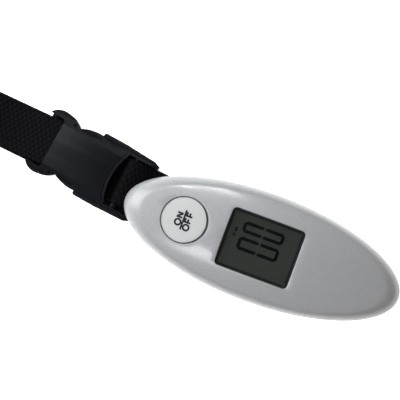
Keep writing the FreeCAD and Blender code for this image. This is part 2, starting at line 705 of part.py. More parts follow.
def make_casing_screws():
    screws = []
    for x, y in SCREW_PLACES:
        head = post(x, y, SCREW_SEAT_Z - SCREW_HEAD_HEIGHT, SCREW_SEAT_Z, SCREW_HEAD_RADIUS)
        slot = block(x - 1.5, x + 1.5, y - 0.3, y + 0.3, 0, SCREW_SEAT_Z - 0.8)
        cross = block(x - 0.3, x + 0.3, y - 1.5, y + 1.5, 0, SCREW_SEAT_Z - 0.8)
        shank = post(x, y, SCREW_SEAT_Z, SCREW_TIP_Z - 0.5, SCREW_RADIUS)
        screws.append(head.cut([slot, cross]).fuse(shank))
    return Part.makeCompound(screws)


# ------------------------------------------------------------------- buckle

def buckle_section(half_thickness, half_width, edge_half):
    """Cross-section pushed along X: a shallow arch, sloping sides and a raised bead along each edge."""
    shoulder = half_width * SHOULDER_SHARE
    bead_foot = half_width - BEAD_WIDTH
    bead_top = edge_half + BEAD_TOP
    chamfer = 0.4
    rows = [
        (half_width, edge_half),
        (half_width - chamfer, bead_top),
        (bead_foot, bead_top),
        (bead_foot - chamfer, bead_top - BEAD_RISE),
        (shoulder, half_thickness - ARCH),
    ]

    def at(turn, y, height):
        return V(0, turn * y, BUCKLE_MID_Z + turn * height)

    outline = []
    for turn in (-1, 1):
        outline += [at(turn, y, height) for y, height in rows]
        outline.append((at(turn, 0, half_thickness), at(turn, -shoulder, half_thickness - ARCH)))
        outline += [at(turn, -y, height) for y, height in reversed(rows[:-1])]
    bar = prism(outline, 90, V(1, 0, 0))
    bar.translate(V(-140, 0, 0))
    return bar


def socket_plan():
    """Half the outline from above: straight rail, waist over the press window, then flared ear."""
    w = BUCKLE_HALF_WIDTH
    return [
        V(-SEAM, w, 0),
        V(-RAIL_END + 1.5, w, 0),
        (V(-RAIL_END + 0.4, w - 0.5, 0), V(-RAIL_END, w - 1.6, 0)),
        V(-RAIL_END, 13.4, 0),
        (V(-(RAIL_END + WINDOW_END) / 2, 12.4, 0), V(-WINDOW_END, 13.3, 0)),
        (V(-WINDOW_END - 2.6, EAR_HALF_WIDTH - 1.7, 0), V(-WINDOW_END - 7.5, EAR_HALF_WIDTH - 0.2, 0)),
        (V(-EAR_END + 3.6, EAR_HALF_WIDTH - 0.5, 0), V(-EAR_END + 0.8, EAR_HALF_WIDTH - 2.4, 0)),
        V(-EAR_END, EAR_HALF_WIDTH - 3.6, 0),
        V(-EAR_END, 0, 0),
    ]


def mirror_y(shape):
    return shape.mirror(ORIGIN, V(0, 1, 0))


def symmetric_prism(half_outline, z0, z1):
    """Half an outline on the +Y side of the X axis, closed along that axis and mirrored."""
    first = half_outline[0]
    last = half_outline[-1]
    last_point = last[1] if isinstance(last, tuple) else last
    closed = [V(first.x, 0, 0)] + half_outline
    if abs(last_point.y) > 1e-6:
        closed = closed + [V(last_point.x, 0, 0)]
    half = prism(closed, z1 - z0, UP)
    half.translate(V(0, 0, z0))
    return half.fuse(mirror_y(half)).removeSplitter()


def mouth_cutter(shift):
    """Everything on the plug's side of the socket's hollowed mouth, moved by shift."""
    chord = MOUTH_HALF_CHORD
    outline = [
        V(0, -40, -10),
        V(0, 40, -10),
        V(-SEAM, 40, -10),
        V(-SEAM, chord, -10),
        (V(-SEAM - MOUTH_DEPTH, 0, -10), V(-SEAM, -chord, -10)),
        V(-SEAM, -40, -10),
    ]
    cutter = prism(outline, 40, UP)
    cutter.translate(V(shift, 0, 0))
    return cutter


def skirts(slot, tops):
    """A low guard on each side of a webbing slot: a wall beside the webbing, and a flange under its edge,
    whose top follows the (x, z) points in tops."""
    x0 = tops[0][0]
    x1 = tops[-1][0]
    profile = [V(x0, 0, SKIRT_Z), V(x1, 0, SKIRT_Z)] + [V(x, 0, z) for x, z in reversed(tops)]
    flange = prism(profile, SKIRT_REACH + SKIRT_WALL, V(0, 1, 0))
    flange.translate(V(0, slot - SKIRT_REACH, 0))
    guard = flange.fuse(block(x0, x1, slot, slot + SKIRT_WALL, SKIRT_Z, BUCKLE_MID_Z))
    return [guard, mirror_y(guard)]


def make_buckle_socket():
    plan = symmetric_prism(socket_plan(), 0, 20)
    body = plan.common(buckle_section(BUCKLE_THICKNESS / 2, BUCKLE_HALF_WIDTH, SOCKET_EDGE_HALF))
    body = body.cut(mouth_cutter(0))
    mid = BUCKLE_MID_Z
    cuts = [block(-WINDOW_END - 1.5, 0, -CAVITY_HALF_WIDTH, CAVITY_HALF_WIDTH,
                  mid - CAVITY_HALF_HEIGHT, mid + CAVITY_HALF_HEIGHT)]
    window_half = CAVITY_HALF_HEIGHT + 0.5
    for side in (-1, 1):
        y = side * 16.5
        cuts.append(block(-WINDOW_END + 0.4, -RAIL_END - 0.01, y - 6.0, y + 6.0,
                          mid - window_half, mid + window_half))
        cuts.append(post(-WINDOW_END - 2.5, side * 13.6, mid + 1.5, 20, 0.9))
    slot = WEBBING_WIDTH / 2 + SLOT_SPARE
    cuts.append(rounded_block(-EAR_END - 2, -SLOT_EDGE, -slot, slot, -5, 20, 1.0))
    cuts.append(block(-EAR_END - 2, -WINDOW_END - 2.4, -slot, slot, mid - 4.4, mid + 3.3))
    body = body.cut(cuts)
    wide = V(0, 2 * slot + 2, 0)
    bar_start = V(-SOCKET_BAR, -slot - 1, SOCKET_BAR_Z)
    inner_bar = Part.makeCylinder(SOCKET_BAR_RADIUS, 2 * slot + 2, bar_start, wide)
    end_bar = rounded_block(-END_BAR - 1.6, -END_BAR + 1.2, -slot - 1, slot + 1, mid - 2.2, mid - 0.2, 0.6)
    skirt_top = SKIRT_Z + SKIRT_THICKNESS
    guards = skirts(slot, [(-EAR_END + 1.4, skirt_top), (-SLOT_EDGE + 0.5, skirt_top)])
    return body.fuse([inner_bar, end_bar] + guards)


def make_buckle_plug():
    """Shoulder, two side rails, webbing bar and centre guide."""
    mid = BUCKLE_MID_Z
    w = BUCKLE_HALF_WIDTH
    inner = WEBBING_WIDTH / 2 + PLUG_SPARE
    plan_half = [
        V(-SEAM - MOUTH_DEPTH, w, 0),
        V(-PLUG_END - 3.0, w - 0.8, 0),
        (V(-PLUG_END - 0.8, w - 1.8, 0), V(-PLUG_END, inner + 1.6, 0)),
        V(-PLUG_END, 0, 0),
    ]
    plan = symmetric_prism(plan_half, 0, 20)
    body = plan.common(buckle_section(BUCKLE_THICKNESS / 2 - PLUG_THINNER, w, PLUG_EDGE_HALF))
    side_view = [
        V(-SEAM - 6, -30, mid - 6),
        V(-SEAM + 2, -30, mid - 6),
        V(-SEAM + 3, -30, mid - 4.9),
        V(-PLUG_END + 1, -30, mid - 3.0),
        V(-PLUG_END + 1, -30, mid + 2.6),
        V(-SEAM + 3, -30, mid + 4.9),
        V(-SEAM + 2, -30, mid + 6),
        V(-SEAM - 6, -30, mid + 6),
    ]
    body = body.common(prism(side_view, 60, V(0, 1, 0)))
    plug_side = mouth_cutter(SEAM_GAP)
    body = body.common(plug_side)
    opening = mouth_cutter(SEAM_GAP + LIP_OF_PLUG).common(block(-SEAM - 9, 0, -inner, inner, -5, 20))
    body = body.cut(opening)
    bar = Part.makeCylinder(PLUG_BAR_RADIUS, 2 * inner + 2, V(-PLUG_BAR, -inner - 1, mid), V(0, 1, 0))
    guide = rounded_block(-WINDOW_END + 3.0, -SEAM - 1.6, -GUIDE_HALF_WIDTH, GUIDE_HALF_WIDTH,
                          mid - GUIDE_HALF_HEIGHT, mid + GUIDE_HALF_HEIGHT, 1.6)
    roots = []
    for side in (-1, 1):
        y = side * PRONG_Y
        roots.append(block(-SEAM - 3.0, -SEAM + 0.4, y - PRONG_ROOT_HALF_WIDTH, y + PRONG_ROOT_HALF_WIDTH,
                           mid - GUIDE_HALF_HEIGHT, mid + GUIDE_HALF_HEIGHT))
    guards = skirts(inner, [(-SEAM - 4.0, SKIRT_Z + 1.45), (-PLUG_BAR + 4.6, SKIRT_Z + 1.45),
                            (-PLUG_END - 1.0, SKIRT_Z + 0.45)])
    return body.fuse([bar, guide] + roots + [guard.common(plug_side) for guard in guards])


def make_prong(side):
    """A sprung arm and its press pad, whose shoulder catches behind the socket's rail."""
    shoulder = -RAIL_END - SEAM_GAP
    outline = [
        V(-PRONG_ROOT, PRONG_Y - PRONG_HALF_WIDTH, 0),
        V(-PRONG_ROOT, PRONG_Y + PRONG_HALF_WIDTH, 0),
        V(-RAIL_END + 2.0, PRONG_Y + 2.6, 0),
        V(shoulder, PRONG_Y + 3.2, 0),
        V(shoulder, PAD_REACH, 0),
        (V(-RAIL_END - 6.0, PAD_REACH - 0.4, 0), V(-WINDOW_END + 0.7, PAD_REACH - 2.4, 0)),
        V(-WINDOW_END - 0.6, 11.2, 0),
        V(-RAIL_END - 3.4, PRONG_Y + 0.2, 0),
    ]
    arm = prism(outline, 2 * PRONG_HALF_HEIGHT, UP)
    arm.translate(V(0, 0, BUCKLE_MID_Z - PRONG_HALF_HEIGHT))
    top_z = BUCKLE_MID_Z + PRONG_HALF_HEIGHT
    groove = block(-WINDOW_END + 3.0, shoulder - 1.4, PAD_REACH - 2.6, PAD_REACH - 2.6 + PAD_GROOVE,
                   top_z - PAD_GROOVE, top_z + 1)
    arm = arm.cut(groove)
    return arm if side > 0 else mirror_y(arm)


# -------------------------------------------------------------------- strap

def unit(a, b):
    return (b - a).normalize()


def bend(a, b, c, radius, offset):
    """Start, middle and end of the bend at b, on a line offset to one side of the centreline."""
    before = unit(a, b)
    after = unit(b, c)
    turn = math.atan2(before.x * after.z - before.z * after.x, before.x * after.x + before.z * after.z)
    side = 1 if turn > 0 else -1
    start = b - before * (radius * math.tan(abs(turn) / 2))
    centre = start + V(-before.z, 0, before.x) * (radius * side)
    spoke = (start - centre).normalize() * (radius - offset * side)

    def at(fraction):
        angle = turn * fraction
        return centre + V(spoke.x * math.cos(angle) - spoke.z * math.sin(angle), 0,
                          spoke.x * math.sin(angle) + spoke.z * math.cos(angle))

    return [at(0), at(0.5), at(1)]


def side_line(path, radii, offset):
    """The points of one face of the webbing: its two ends, and three points for each bend."""
    first = unit(path[0], path[1])
    last = unit(path[-2], path[-1])
    line = [path[0] + V(-first.z, 0, first.x) * offset]
    for a, b, c, radius in zip(path, path[1:], path[2:], radii):
        line += bend(a, b, c, radius, offset)
    return line + [path[-1] + V(-last.z, 0, last.x) * offset]


def side_edges(line):
    """Straight runs and arcs along one face of the webbing."""
    edges = []
    for k in range(0, len(line) - 1, 3):
        if (line[k + 1] - line[k]).Length > 1e-4:
            edges.append(Part.makeLine(line[k], line[k + 1]))
        if k + 3 < len(line):
            edges.append(Part.Arc(*line[k + 1:k + 4]).toShape())
    return edges


def bend_radii(path, tight):
    """Each bend as round as its two runs allow, or the radius given for it in tight."""
    radii = []
    for k in range(1, len(path) - 1):
        before = path[k] - path[k - 1]
        after = path[k + 1] - path[k]
        widest = 0.45 * min(before.Length, after.Length) / math.tan(before.getAngle(after) / 2)
        radii.append(tight.get(k, widest))
    return radii


def make_webbing(points, tight, name):
    """A flat band along points, each (distance along the strap, height), drawn from its edge."""
    path = [V(-s, 0, z) for s, z in points]
    radii = bend_radii(path, tight)
    over = side_line(path, radii, WEBBING / 2)
    under = side_line(path, radii, -WEBBING / 2)
    edges = side_edges(over) + side_edges(under)
    edges += [Part.makeLine(over[0], under[0]), Part.makeLine(over[-1], under[-1])]
    face = Part.Face(Part.Wire(Part.__sortEdges__(edges)))
    band = face.extrude(V(0, WEBBING_WIDTH, 0))
    band.translate(V(0, -WEBBING_WIDTH / 2, 0))
    length = sum((b - a).Length for a, b in zip(path, path[1:]))
    for k, radius in enumerate(radii, 1):
        half_turn = (path[k] - path[k - 1]).getAngle(path[k + 1] - path[k]) / 2
        length -= 2 * radius * (math.tan(half_turn) - half_turn)
    print("%s: length %.1f, section x length %.1f, volume %.1f, radii %s"
          % (name, length, length * WEBBING * WEBBING_WIDTH, band.Volume,
             ", ".join("%.1f" % r for r in radii)))
    return band


# Under run: from its sewn end over the stack, round the link's far bar, then along the surface.
UNDER_RUN = [
    (37.0, LAYER + 3 * STACK_STEP),
    (27.0, LAYER + 3 * STACK_STEP),
    (21.0, LINK_Z + LINK_WRAP),
    (LINK_REACH - LINK_WRAP, LINK_Z + LINK_WRAP),
    (LINK_REACH - LINK_WRAP, LAYER),
    (FAR_JOIN, LAYER),
]
UNDER_TIGHT = {3: LINK_WRAP, 4: LINK_WRAP}

# Short strap: a sewn loop through the bar of the plug.
SHORT_STRAP = [
    (28.0, LAYER + STACK_STEP),
    (61.0, LAYER + STACK_STEP),
    (PLUG_BAR - 4.6, BUCKLE_MID_Z - PLUG_WRAP),
    (PLUG_BAR + PLUG_WRAP + PLUG_SLACK, BUCKLE_MID_Z - PLUG_WRAP),
    (PLUG_BAR + PLUG_WRAP + PLUG_SLACK, BUCKLE_MID_Z + PLUG_WRAP),
    (PLUG_BAR - 3.6, BUCKLE_MID_Z + PLUG_WRAP),
    (60.2, LAYER + 2 * STACK_STEP),
    (28.0, LAYER + 2 * STACK_STEP),
]
SHORT_TIGHT = {3: PLUG_WRAP, 4: PLUG_WRAP}

# Top run: loose tail, round the socket's bar, out over the end bar, then the far turn.
TOP_RUN = [
    (147.0, 3.0),
    (125.0, 3.4),
    (121.0, SOCKET_BAR_Z - SOCKET_WRAP),
    (SOCKET_BAR - SOCKET_WRAP - SOCKET_SLACK, SOCKET_BAR_Z - SOCKET_WRAP),
    (SOCKET_BAR - SOCKET_WRAP - SOCKET_SLACK, SOCKET_BAR_Z + SOCKET_WRAP),
    (123.0, SOCKET_BAR_Z + SOCKET_WRAP),
    (142.0, 8.4),
    (168.0, 12.6),
    (FAR_TURN - 8.0, 18.8),
    (FAR_TURN + 4.0, 13.0),
    (FAR_TURN + 2.0, LAYER),
    (FAR_JOIN + 0.5, LAYER),
]
TOP_TIGHT = {3: SOCKET_WRAP, 4: SOCKET_WRAP}


def make_bar_tack():
    """Four bars of thread across the sewn end, on top of the stacked webbing."""
    top_z = UNDER_RUN[0][1] + LAYER
    threads = [rod(V(-s, -10, top_z + 0.32), V(-s, 10, top_z + 0.32), 0.3) for s in (29.0, 31.0, 33.0, 35.0)]
    return strap_frame(Part.makeCompound(threads))


# --------------------------------------------------------------------- main

def main():
    os.makedirs("parts", exist_ok=True)
    outer = oval_body(0)
    inner = oval_body(WALL)

    save(make_top_cover(outer, inner), "top_cover")
    save(make_bottom_cover(outer, inner), "bottom_cover")
    save(make_battery_door(outer, inner), "battery_door")
    save(make_casing_screws(), "casing_screws")

    save(make_display_window(), "display_window")
    save(make_window_gasket(), "window_gasket")
    save(make_lcd_panel(), "lcd_panel")
    save(make_lcd_frame(), "lcd_frame")
    save(make_connector_strips(), "lcd_connector_strips")
    save(make_main_board(), "main_board")
    save(make_board_screws(), "board_screws")
    save(make_chip(), "scale_chip")
    save(make_power_button(outer), "power_button")
    save(make_switch_body(), "switch_body")
    save(make_switch_plunger(), "switch_plunger")

    save(make_coin_cell(), "coin_cell")
    save(make_contact_negative(), "battery_contact_negative")
    save(make_contact_positive(), "battery_contact_positive")

    save(make_load_beam(), "load_beam")
    save(make_strain_gauges(), "strain_gauges")
    save(make_gauge_wires(), "gauge_wires")
    save(make_beam_screws(), "beam_screws")
    save(make_eye_bolt(), "eye_bolt")
    save(make_eye_washer(), "eye_washer")
    save(make_eye_nut(), "eye_nut")
    save(make_link_ring(), "link_ring")

    save(buckle_frame(make_buckle_socket()), "buckle_socket")
    save(buckle_frame(make_buckle_plug()), "buckle_plug")
    save(buckle_frame(make_prong(1)), "prong_north")
    save(buckle_frame(make_prong(-1)), "prong_south")
    save(under_run_frame(make_webbing(UNDER_RUN, UNDER_TIGHT, "under run")), "strap_under_run")
    save(strap_frame(make_webbing(SHORT_STRAP, SHORT_TIGHT, "short strap")), "strap_short_loop")
    save(top_run_frame(make_webbing(TOP_RUN, TOP_TIGHT, "top run")), "strap_top_run")
    save(make_bar_tack(), "bar_tack")


main()
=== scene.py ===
import json
import math

import bpy
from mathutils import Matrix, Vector


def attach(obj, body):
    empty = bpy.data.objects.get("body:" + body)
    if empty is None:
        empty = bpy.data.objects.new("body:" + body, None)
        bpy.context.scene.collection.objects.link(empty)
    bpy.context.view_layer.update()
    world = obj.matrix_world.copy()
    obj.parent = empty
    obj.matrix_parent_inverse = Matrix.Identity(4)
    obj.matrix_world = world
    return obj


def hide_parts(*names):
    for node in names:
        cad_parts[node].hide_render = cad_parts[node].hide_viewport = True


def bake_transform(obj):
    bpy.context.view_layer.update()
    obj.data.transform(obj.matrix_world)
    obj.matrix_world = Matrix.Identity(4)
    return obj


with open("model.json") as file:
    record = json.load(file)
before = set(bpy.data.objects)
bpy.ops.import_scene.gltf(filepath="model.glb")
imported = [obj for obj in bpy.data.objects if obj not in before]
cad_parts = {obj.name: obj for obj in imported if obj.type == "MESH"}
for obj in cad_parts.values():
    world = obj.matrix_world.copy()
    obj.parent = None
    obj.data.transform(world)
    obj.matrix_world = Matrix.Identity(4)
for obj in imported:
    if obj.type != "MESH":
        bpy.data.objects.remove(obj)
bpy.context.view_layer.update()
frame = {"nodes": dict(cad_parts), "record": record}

MM = 0.001

# ---------------------------------------------------------------------------
# Driving numbers, millimetres unless noted.  +X away from the strap, +Z up.
# ---------------------------------------------------------------------------

# Camera: straight down, turned about Z so that the strap points up to the left.
CAMERA_TURN_DEG = 20.3
CAMERA_OVER = (-37.7, 12.0)
CAMERA_HEIGHT = 650.0
CAMERA_LENS = 113.0
SENSOR_WIDTH = 36.0
NEAREST_SEEN = 10.0

# Floor, metres: a wide plain sheet just under the object, glowing a little so that it stays white.
FLOOR_HALF = 3.0
FLOOR_Z = -0.0004
FLOOR_WHITE = (0.93, 0.93, 0.93)
FLOOR_ROUGHNESS = 0.9
FLOOR_GLOW = 0.78

# Light: strengths of the sky at the horizon and straight up, and the tints of its two sides.
SKY_LOW = 0.95
SKY_HIGH = 0.12
SKY_COOL = (1.0, 1.04, 1.08)
SKY_WARM = (0.26, 0.18, 0.15)
COOL = (0.94, 0.97, 1.0)
WARM = (1.0, 0.78, 0.66)

# Lamps: name, place and size in metres, watts, tint.  All point at the origin.
LAMPS = [
    ("key", (-0.62, 0.10, 0.40), (0.5, 0.8), 7.5, COOL),
    ("overhead", (-0.72, 0.08, 1.00), (0.5, 0.9), 2.9, COOL),
    ("fill", (0.9, -0.3, 0.9), (0.9, 0.9), 0.6, WARM),
    ("lamp_near", (-0.12, -0.35, 1.0), (0.15, 0.15), 1.7, COOL),
    ("lamp_far", (-0.265, 0.47, 1.0), (0.13, 0.10), 1.7, COOL),
    ("lamp_far_second", (-0.14, 0.575, 1.0), (0.13, 0.10), 1.7, COOL),
]

# Strap and buckle lie along -X, turned about Z; the buckle hangs a little askew on the webbing.
STRAP_YAW_DEG = -5.5
BUCKLE_TURN_DEG = -3.5
BUCKLE_SLIDE = -0.8
UNDER_RUN_TURN_DEG = -0.2
TOP_RUN_TURN_DEG = 0.7
LINK_REACH = 18.0
PLUG_BAR = 77.1
SOCKET_BAR = 118.2

# Webbing: a plain weave of ribs along it, each bumped where the cross threads go over.
WEBBING_WIDTH = 25.0
WEBBING_THICKNESS = 1.4
RIB_WIDTH = 2.05
RIB_ROUNDNESS = 0.7
RIB_LOW_SHARE = 0.25
WEAVE_PITCH = 2.6
WEAVE_RELIEF = 0.42
BUMP_ROUNDNESS = 0.8
SELVEDGE_SHARE = 0.05
INSIDE_RIB = 0.0001
SAMPLES_PER_RIB = 6
ROW_STEP = 0.4
CURVE_STEPS = 40

# Route of the long strap, (distance along the strap, height).  It starts with the sewn lap, which
# ends where the strap, past the link's bar, has come down to LAP_END_Z.
UNDER_RUN_Z = 0.7
LAP_END_Z = 0.8
LINK_TURN = [(37.0, 5.05), (27.0, 5.05), (21.0, 5.9), (15.4, 5.9), (15.4, UNDER_RUN_Z)]
AFTER_LINK = [(20.6, UNDER_RUN_Z)]
FAR_JOIN = [(180.0, UNDER_RUN_Z)]
FAR_LOOP = [(208.0, UNDER_RUN_Z), (210.0, 13.0), (198.0, 18.8), (168.0, 12.6), (142.0, 8.4)]
SOCKET_TURN = [(123.0, 9.1), (114.8, 9.1), (114.8, 4.3), (121.0, 4.3)]
TAIL = [(125.0, 3.4), (147.0, 3.0)]

# Route of the short sewn loop through the plug's bar.
SHORT_ROUTE = [(28.0, 2.15), (61.0, 2.15), (72.5, 4.4), (80.4, 4.4),
               (80.4, 9.4), (73.5, 9.4), (60.2, 3.6), (28.0, 3.6)]

# Crown of the casing, part of a sphere squeezed along Y.
HALF_LENGTH = 73.5
HALF_WIDTH = 28.0
CROWN_TOP = 30.0
CROWN_RADIUS = 570.8

# Rounding of the moulded edges.
BUCKLE_EDGE = 0.35
WINDOW_EDGE = 0.5
CASING_EDGE = 0.6
BUTTON_EDGE = 0.3
EDGE_SEGMENTS = 3
EDGE_ANGLE_DEG = 25
WELD_REACH = 0.001

# Button, a dark ring of painted shade in the gap around it, and the print on it.
BUTTON_X = -41.9
BUTTON_SINK = 0.2
# painted shade: a thin dark ring laid in the gap round the button to darken it
GAP_SHADE_RADIUS = 11.53
GAP_SHADE_WIDTH = 0.42
GAP_SHADE_DEPTH = 0.28
GAP_SHADE_THICKNESS = 0.4
PRINT_LIFT = 0.005
PRINT_THICKNESS = 0.03
PRINT_STROKE = 0.95
LETTER_HALF = 1.45
N_HALF_WIDTH = 1.05
F_STEM = 0.8
F_TOP_ARM = 1.15
F_MIDDLE_ARM = 0.95
ON_X = BUTTON_X - 2.45
BAR_X = BUTTON_X - 0.1
OFF_X = BUTTON_X + 2.3
BAR_START_Y = -5.1
BAR_END_Y = 5.0
ON_PLACES = (-1.9, 1.75)
OFF_PLACES = (-3.3, 0.1, 3.2)

# Display: two digits and two small marks printed on it, and a dark border round the window that is painted
# shade of the window's recess.
LCD_TOP = 26.3
INK_LIFT = 0.01
INK_THICKNESS = 0.06
DIGIT_STROKE = 1.6
DIGIT_GAP = 0.2
DIGIT_TOP_X = -12.2
DIGIT_BOTTOM_X = 7.6
DIGIT_SIDES = ((-3.6, 1.5), (5.3, 9.5))
SEGMENT_TIP = 0.05
BAR_MARK = ((-16.4, 4.7), (-15.2, 4.7))
BAR_MARK_WIDTH = 2.2
RING_MARK = (-15.9, 2.0)
RING_MARK_RADIUS = 0.6
RING_MARK_STROKE = 0.5
WINDOW_START_X = -20.4
WINDOW_END_X = 17.4
WINDOW_HALF_WIDTH = 14.9
# painted shade: width of the dark border along the window's sides, standing in for the shade of its recess
WINDOW_SHADE_BORDER = 1.1

# Dark discs of painted shade at the bottoms of the small holes in the socket's ears, in the buckle's own
# directions.
EAR_HOLE_REACH = 113.0
EAR_HOLE_SIDE = 13.6
EAR_SHADE_DISC_RADIUS = 1.15
EAR_SHADE_DISC_HEIGHT = 8.45
EAR_SHADE_DISC_THICKNESS = 0.3


# ------------------------------------------------------------------ helpers

def strap_point(s, w, z):
    """Row-frame point, in metres, of a place along, across and above the strap."""
    turn = math.radians(STRAP_YAW_DEG)
    x = -s * math.cos(turn) - w * math.sin(turn)
    y = -s * math.sin(turn) + w * math.cos(turn)
    return Vector((x, y, z)) * MM


def buckle_point(s, w, z):
    """Row-frame point of a place on the buckle, which hangs a little askew."""
    turn = math.radians(BUCKLE_TURN_DEG)
    x = (PLUG_BAR - s) * math.cos(turn) - w * math.sin(turn) - PLUG_BAR
    y = (PLUG_BAR - s) * math.sin(turn) + w * math.cos(turn) + BUCKLE_SLIDE
    return strap_point(-x, y, z)


def under_run_point(s, z):
    """A place on the under run, which is turned about the link's far bar."""
    turn = math.radians(-UNDER_RUN_TURN_DEG)
    run = s - LINK_REACH
    return strap_point(LINK_REACH + run * math.cos(turn), run * math.sin(turn), z)


def top_run_point(s, z):
    """A place on the top run, which is centred on the socket's bar and turned about there."""
    buckle_turn = math.radians(-BUCKLE_TURN_DEG)
    reach = SOCKET_BAR - PLUG_BAR
    along = PLUG_BAR + reach * math.cos(buckle_turn)
    across = BUCKLE_SLIDE + reach * math.sin(buckle_turn)
    turn = math.radians(TOP_RUN_TURN_DEG)
    run = s - SOCKET_BAR
    return strap_point(along + run * math.cos(turn), across - run * math.sin(turn), z)


def add_mesh(name, vertices, faces, material, smooth=True):
    mesh = bpy.data.meshes.new(name)
    mesh.from_pydata([tuple(v) for v in vertices], [], faces)
    mesh.validate()
    for polygon in mesh.polygons:
        polygon.use_smooth = smooth
    mesh.materials.append(material)
    made = bpy.data.objects.new(name, mesh)
    bpy.context.scene.collection.objects.link(made)
    return made


# ----------------------------------------------------------- camera, floor, light

def make_camera():
    data = bpy.data.cameras.new("camera")
    data.lens = CAMERA_LENS
    data.sensor_width = SENSOR_WIDTH
    data.clip_start = NEAREST_SEEN * MM
    camera = bpy.data.objects.new("camera", data)
    camera.location = (CAMERA_OVER[0] * MM, CAMERA_OVER[1] * MM, CAMERA_HEIGHT * MM)
    camera.rotation_euler = (0, 0, math.radians(CAMERA_TURN_DEG))
    bpy.context.scene.collection.objects.link(camera)
    bpy.context.scene.camera = camera


def make_floor():
    corners = [(-FLOOR_HALF, -FLOOR_HALF, FLOOR_Z), (FLOOR_HALF, -FLOOR_HALF, FLOOR_Z),
               (FLOOR_HALF, FLOOR_HALF, FLOOR_Z), (-FLOOR_HALF, FLOOR_HALF, FLOOR_Z)]
    material, nodes, links, shader = new_material("floor_white")
    shader.inputs["Base Color"].default_value = (*FLOOR_WHITE, 1)
    shader.inputs["Roughness"].default_value = FLOOR_ROUGHNESS
    shader.inputs["Specular IOR Level"].default_value = 0.0
    shader.inputs["Emission Color"].default_value = (1.0, 1.0, 1.0, 1)
    shader.inputs["Emission Strength"].default_value = FLOOR_GLOW
    floor = add_mesh("floor", corners, [(0, 1, 2, 3)], material, smooth=False)


def make_lamp(name, place, size, power, colour):
    data = bpy.data.lights.new(name, "AREA")
    data.shape = "RECTANGLE"
    data.size = size[0]
    data.size_y = size[1]
    data.energy = power
    data.color = colour
    lamp = bpy.data.objects.new(name, data)
    lamp.location = place
    lamp.rotation_euler = (Vector((0, 0, 0)) - Vector(place)).to_track_quat("-Z", "Y").to_euler()
    bpy.context.scene.collection.objects.link(lamp)


def make_sky():
    """A soft studio sweep: dim straight up, bright and cool low down on -X, dimmer and warm on +X."""
    world = bpy.data.worlds.new("studio")
    world.use_nodes = True
    nodes = world.node_tree.nodes
    links = world.node_tree.links
    place = nodes.new("ShaderNodeTexCoord").outputs["Generated"]
    split = nodes.new("ShaderNodeSeparateXYZ")
    links.new(place, split.inputs["Vector"])
    by_height = spread(nodes, links, split.outputs["Z"], SKY_LOW, SKY_HIGH)
    by_side = nodes.new("ShaderNodeMapRange")
    by_side.inputs["From Min"].default_value = -1.0
    by_side.inputs["To Min"].default_value = 0.0
    by_side.inputs["To Max"].default_value = 1.0
    links.new(split.outputs["X"], by_side.inputs["Value"])
    tint = two_colours(nodes, links, by_side.outputs["Result"], SKY_COOL, SKY_WARM)
    background = nodes["Background"]
    links.new(tint, background.inputs["Color"])
    links.new(by_height, background.inputs["Strength"])
    bpy.context.scene.world = world


def make_light():
    make_sky()
    for name, place, size, power, colour in LAMPS:
        make_lamp(name, place, size, power, colour)
    bpy.context.scene.view_settings.view_transform = "Standard"


# ---------------------------------------------------------------- materials

# Scales are repeats per metre, and depths are metres.
DRIFT_SCALE = 45.0
SMEAR_SCALE = 160.0
PAINT_SMEAR_SCALE = 120.0
CLEAR_SMEAR_SCALE = 140.0
CLEAR_ROUGHNESS = (0.01, 0.06)
MOULD_GRAIN = 0.00002
GRAIN_STRENGTH = 0.5
PEEL_SCALE = 900.0
PEEL_DEPTH = 0.00001
PEEL_STRENGTH = 0.25
FLAKE_SCALE = 5200.0
FLAKE_METALLIC = 0.12
FLAKE_SPECULAR = 0.3
PAINT_COAT_ROUGHNESS = 0.15
CLEAR_TINT = (0.90, 0.93, 0.92)
CLEAR_ALPHA = 0.5
CLEAR_IOR = 1.49
FIBRE_SCALE = 2600.0
FIBRE_SPECULAR = 0.05
FIBRE_ROUGHNESS = (0.45, 0.75)
FIBRE_DEPTH = 0.00005
THREAD_SCALE = 900.0
THREAD_DISTORTION = 1.5
THREAD_DEPTH = 0.00006
THREAD_STRENGTH = 0.6
BRUSH_STRETCH = (40, 900, 900)
BRUSH_SCALE = 3.0
BRUSH_DEPTH = 0.00001
BRUSH_STRENGTH = 0.35
TARNISH_SCALE = 60.0
DULL_SHARE = 0.82


def new_material(name):
    material = bpy.data.materials.new(name)
    material.use_nodes = True
    nodes = material.node_tree.nodes
    links = material.node_tree.links
    shader = nodes["Principled BSDF"]
    return material, nodes, links, shader


def object_coordinates(nodes):
    return nodes.new("ShaderNodeTexCoord").outputs["Object"]


def noise(nodes, links, place, scale, detail=3.0, roughness=0.55):
    texture = nodes.new("ShaderNodeTexNoise")
    texture.inputs["Scale"].default_value = scale
    texture.inputs["Detail"].default_value = detail
    texture.inputs["Roughness"].default_value = roughness
    links.new(place, texture.inputs["Vector"])
    return texture.outputs["Fac"]


def spread(nodes, links, value, low, high):
    """Maps a 0 to 1 value onto low to high."""
    mapped = nodes.new("ShaderNodeMapRange")
    mapped.inputs["To Min"].default_value = low
    mapped.inputs["To Max"].default_value = high
    links.new(value, mapped.inputs["Value"])
    return mapped.outputs["Result"]


def two_colours(nodes, links, value, low, high):
    mixed = nodes.new("ShaderNodeMix")
    mixed.data_type = "RGBA"
    mixed.inputs["A"].default_value = (*low, 1)
    mixed.inputs["B"].default_value = (*high, 1)
    links.new(value, mixed.inputs["Factor"])
    return mixed.outputs["Result"]


def bump(nodes, links, value, distance, strength, under=None):
    bumped = nodes.new("ShaderNodeBump")
    bumped.inputs["Distance"].default_value = distance
    bumped.inputs["Strength"].default_value = strength
    links.new(value, bumped.inputs["Height"])
    if under is not None:
        links.new(under, bumped.inputs["Normal"])
    return bumped.outputs["Normal"]


